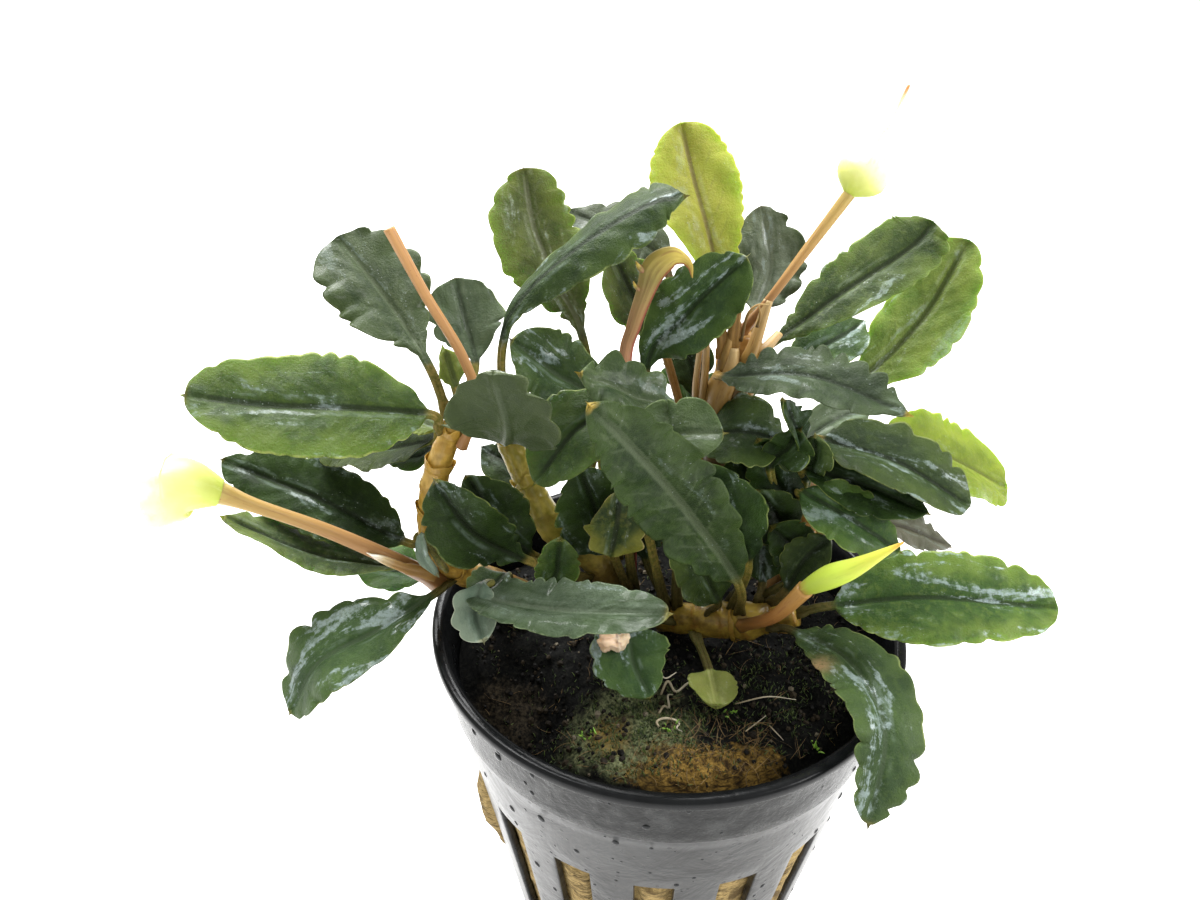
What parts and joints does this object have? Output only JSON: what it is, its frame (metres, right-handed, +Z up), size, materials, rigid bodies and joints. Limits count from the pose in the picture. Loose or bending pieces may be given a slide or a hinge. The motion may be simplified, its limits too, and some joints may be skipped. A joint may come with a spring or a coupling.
{
  "type": "potted bucephalandra aquarium plant",
  "caption": "Wavy-leaved rosette plant on creeping stems, with small spathe flowers, rooted in rock wool in a slotted net pot that stands on its flat base.",
  "frame": {"origin": "centre of the pot's flat underside", "axes": "+Z up along the pot's axis, -Y towards the side the picture was taken from, +X to that view's right"},
  "size_m": [0.0936, 0.0545, 0.1054],
  "materials": {
    "leaf_dark": "wet dark green leaf with a fine pale margin",
    "leaf_mid": "wet mid green leaf with a dark midrib",
    "leaf_olive": "wet olive green leaf",
    "leaf_light": "young yellow green leaf that lets light through",
    "stem_gold": "smooth golden olive creeping stem with leaf scars",
    "stalk_orange": "smooth salmon orange flower stalk",
    "spathe_yellow": "soft pale yellow flower hood, green at its base",
    "spathe_withered": "withered golden tan flower hood with fine veins",
    "pot_black": "thin wet black moulded plastic",
    "rock_wool": "golden brown mineral fibre, dark and mossy on top"
  },
  "bodies": {
    "root": {"net_pot": "pot_black", "rock_wool": "rock_wool", "stem_left": "stem_gold", "stem_centre": "stem_gold", "stem_front": "stem_gold", "stem_back": "stem_gold", "stem_right": "stem_gold", "leaf_left_1": "leaf_mid", "leaf_left_2": "leaf_dark", "leaf_left_3": "leaf_dark", "leaf_left_4": "leaf_light", "leaf_left_5": "leaf_dark", "leaf_left_6": "leaf_mid", "leaf_left_7": "leaf_dark", "leaf_left_8": "leaf_dark", "leaf_left_9": "leaf_mid", "leaf_centre_1": "leaf_dark", "leaf_centre_2": "leaf_dark", "leaf_centre_3": "leaf_dark", "leaf_centre_4": "leaf_dark", "leaf_centre_5": "leaf_olive", "leaf_centre_6": "leaf_dark", "leaf_centre_7": "leaf_dark", "leaf_centre_8": "leaf_dark", "leaf_front_1": "leaf_dark", "leaf_front_2": "leaf_dark", "leaf_front_3": "leaf_mid", "leaf_front_4": "leaf_dark", "leaf_front_5": "leaf_dark", "leaf_front_6": "leaf_mid", "leaf_front_7": "leaf_dark", "leaf_front_8": "leaf_dark", "leaf_front_9": "leaf_mid", "leaf_front_10": "leaf_dark", "leaf_front_11": "leaf_olive", "leaf_front_12": "leaf_dark", "leaf_back_1": "leaf_light", "leaf_back_2": "leaf_dark", "leaf_back_3": "leaf_dark", "leaf_back_4": "leaf_olive", "leaf_back_5": "leaf_dark", "leaf_back_6": "leaf_olive", "leaf_back_7": "leaf_mid", "leaf_back_8": "leaf_dark", "leaf_back_9": "leaf_mid", "leaf_back_10": "leaf_dark", "leaf_right_1": "leaf_light", "leaf_right_2": "leaf_dark", "leaf_right_3": "leaf_dark", "leaf_right_4": "leaf_mid", "leaf_right_5": "leaf_dark", "leaf_right_6": "leaf_dark", "flower_stalk_left": "stalk_orange", "spathe_left": "spathe_yellow", "flower_stalk_cut": "stalk_orange", "spathe_withered": "spathe_withered", "flower_stalk_tall": "stalk_orange", "spathe_tall": "spathe_yellow", "flower_stalk_low": "stalk_orange", "spathe_bud": "spathe_yellow"}
  },
  "joints": []
}
